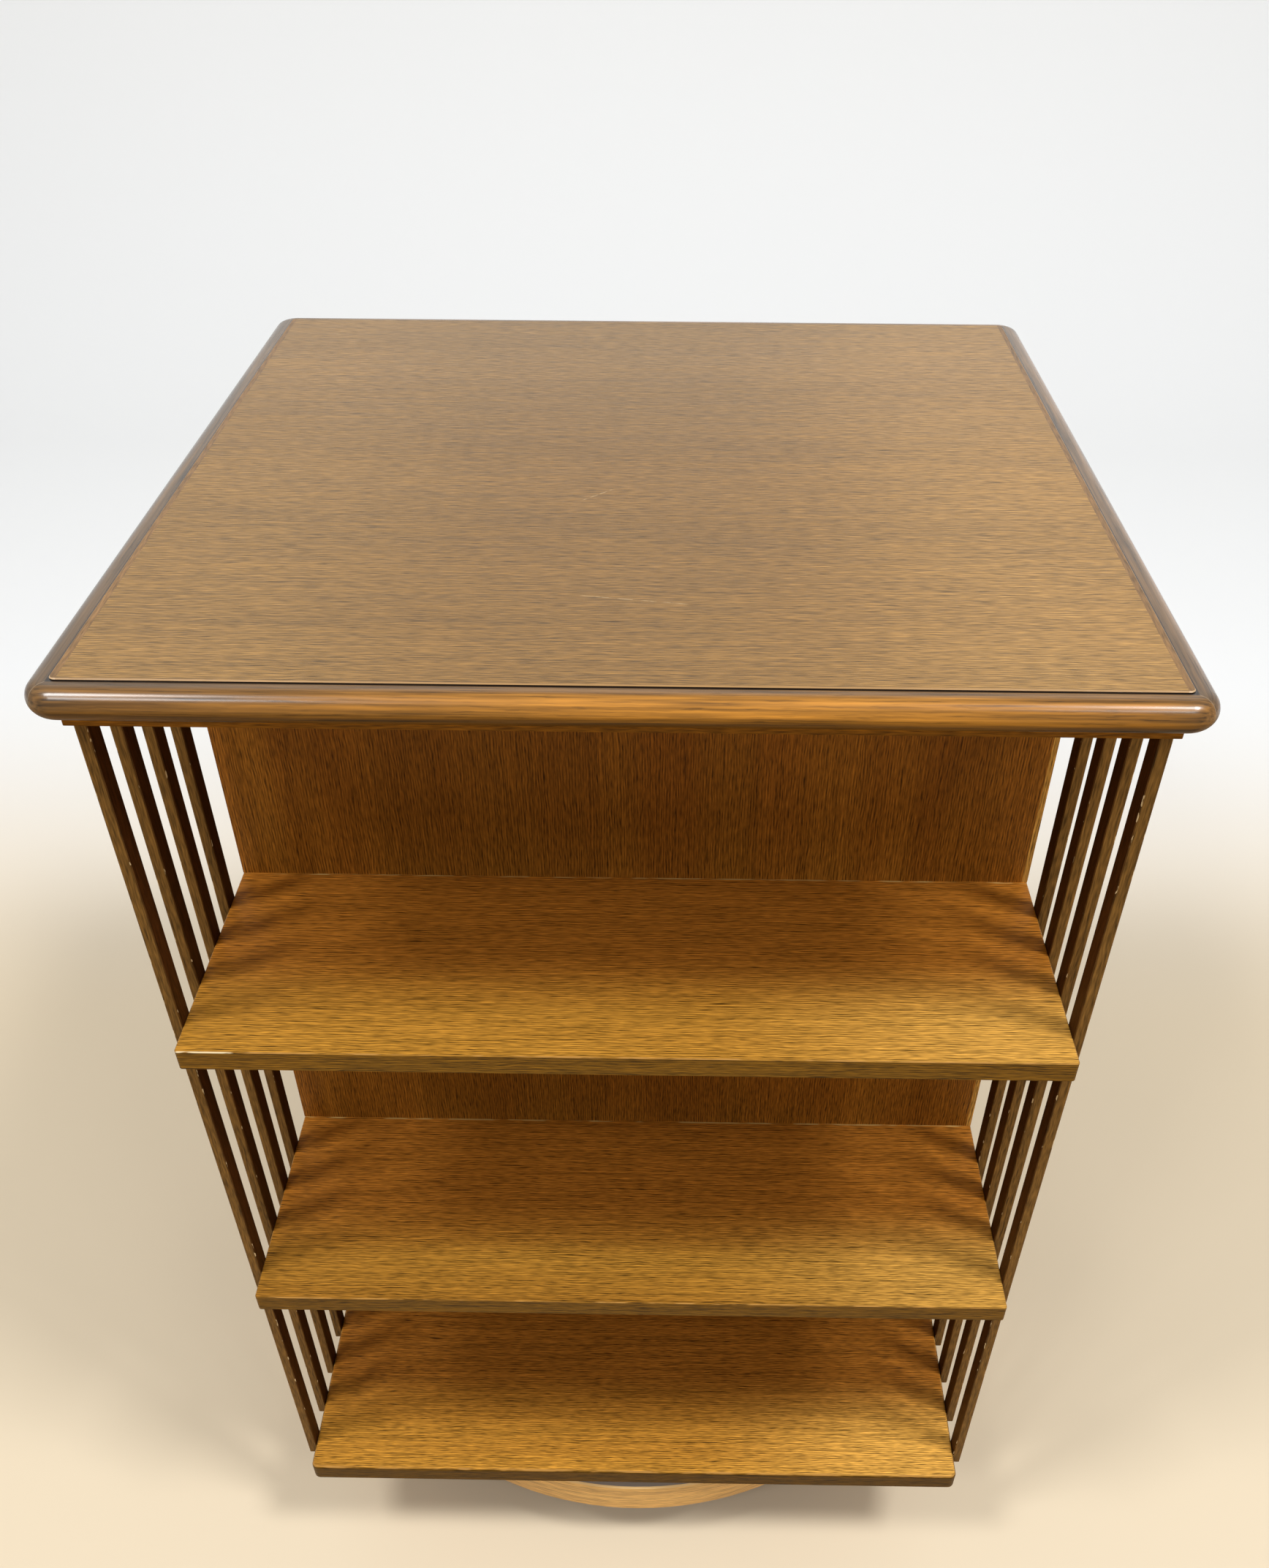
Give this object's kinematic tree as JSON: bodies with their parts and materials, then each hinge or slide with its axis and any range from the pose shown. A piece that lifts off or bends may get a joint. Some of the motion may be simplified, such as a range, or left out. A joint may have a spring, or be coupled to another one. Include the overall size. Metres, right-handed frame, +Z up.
{
  "type": "revolving bookcase",
  "caption": "Square wooden bookcase with open tiers, slatted sides and a moulded top, turning on a spindle above a ring base.",
  "frame": {"origin": "on the floor under the turning axis", "axes": "+Z up along the spindle, front bay facing -Y"},
  "size_m": [0.512, 0.512, 0.757],
  "materials": {
    "top_veneer": "satin varnish",
    "moulding_wood": "gloss varnish",
    "shelf_wood": "satin varnish",
    "panel_wood": "satin varnish",
    "slat_wood": "satin varnish",
    "ring_wood": "satin varnish",
    "base_wood": "satin varnish",
    "spindle_steel": "oiled",
    "cup_iron": "as cast, blackened",
    "bush_brass": "tarnished"
  },
  "bodies": {
    "base": {"base_ring": "ring_wood", "base_rail_lower": "base_wood", "base_rail_upper": "base_wood", "foot_1": "base_wood", "foot_2": "base_wood", "foot_3": "base_wood", "foot_4": "base_wood", "pedestal": "base_wood", "spindle": "spindle_steel", "spindle_nut": "spindle_steel", "spindle_washer": "spindle_steel"},
    "case": {"top_panel": "top_veneer", "top_lipping_left": "moulding_wood", "top_lipping_right": "moulding_wood", "top_moulding_front": "moulding_wood", "top_moulding_right": "moulding_wood", "top_moulding_back": "moulding_wood", "top_moulding_left": "moulding_wood", "frieze_board": "moulding_wood", "upper_shelf": "shelf_wood", "middle_shelf": "shelf_wood", "bottom_shelf": "shelf_wood", "upper_front_panel": "panel_wood", "upper_rear_panel": "panel_wood", "middle_front_panel": "panel_wood", "middle_rear_panel": "panel_wood", "lower_front_panel": "panel_wood", "lower_rear_panel": "panel_wood", "upper_core_left": "panel_wood", "upper_core_right": "panel_wood", "middle_core_left": "panel_wood", "middle_core_right": "panel_wood", "lower_core_left": "panel_wood", "lower_core_right": "panel_wood", "slat_left_1": "slat_wood", "slat_left_2": "slat_wood", "slat_left_3": "slat_wood", "slat_left_4": "slat_wood", "slat_left_5": "slat_wood", "slat_left_6": "slat_wood", "slat_left_7": "slat_wood", "slat_left_8": "slat_wood", "slat_right_1": "slat_wood", "slat_right_2": "slat_wood", "slat_right_3": "slat_wood", "slat_right_4": "slat_wood", "slat_right_5": "slat_wood", "slat_right_6": "slat_wood", "slat_right_7": "slat_wood", "slat_right_8": "slat_wood", "guide_bush": "bush_brass", "pivot_cup": "cup_iron"}
  },
  "joints": [
    {"name": "case_spin", "type": "hinge", "parent": "base", "child": "case", "pos_m": [0, 0, 0.729], "axis": [0, 0, 1], "continuous": true}
  ]
}
